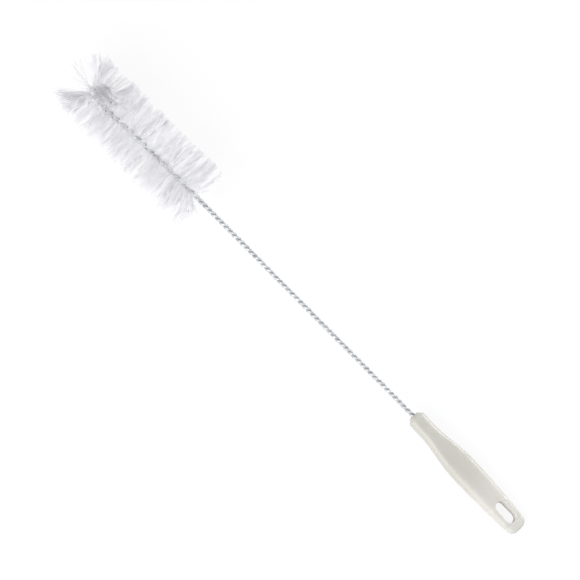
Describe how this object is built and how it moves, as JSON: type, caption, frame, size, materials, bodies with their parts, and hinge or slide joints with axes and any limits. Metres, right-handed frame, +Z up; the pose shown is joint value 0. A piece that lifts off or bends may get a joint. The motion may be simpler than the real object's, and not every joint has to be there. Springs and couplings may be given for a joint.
{
  "type": "bottle brush",
  "caption": "Long-handled brush for washing bottles and cylinders: twisted wire core with a round bristle head, fanned tip and moulded handle with a hanging slot.",
  "frame": {"origin": "middle of the overall footprint, on the surface that the brush lies on", "axes": "+X along the brush towards the handle, +Y to its left seen from above, +Z up"},
  "size_m": [0.429, 0.0488, 0.0542],
  "materials": {
    "galvanised_wire": "drawn and galvanised, dull grey",
    "white_nylon": "clear white filament with a soft sheen",
    "natural_plastic": "uncoloured moulding, glossy and slightly translucent"
  },
  "bodies": {
    "root": {"core_wire": "galvanised_wire", "bristles": "white_nylon", "handle": "natural_plastic"}
  },
  "joints": []
}
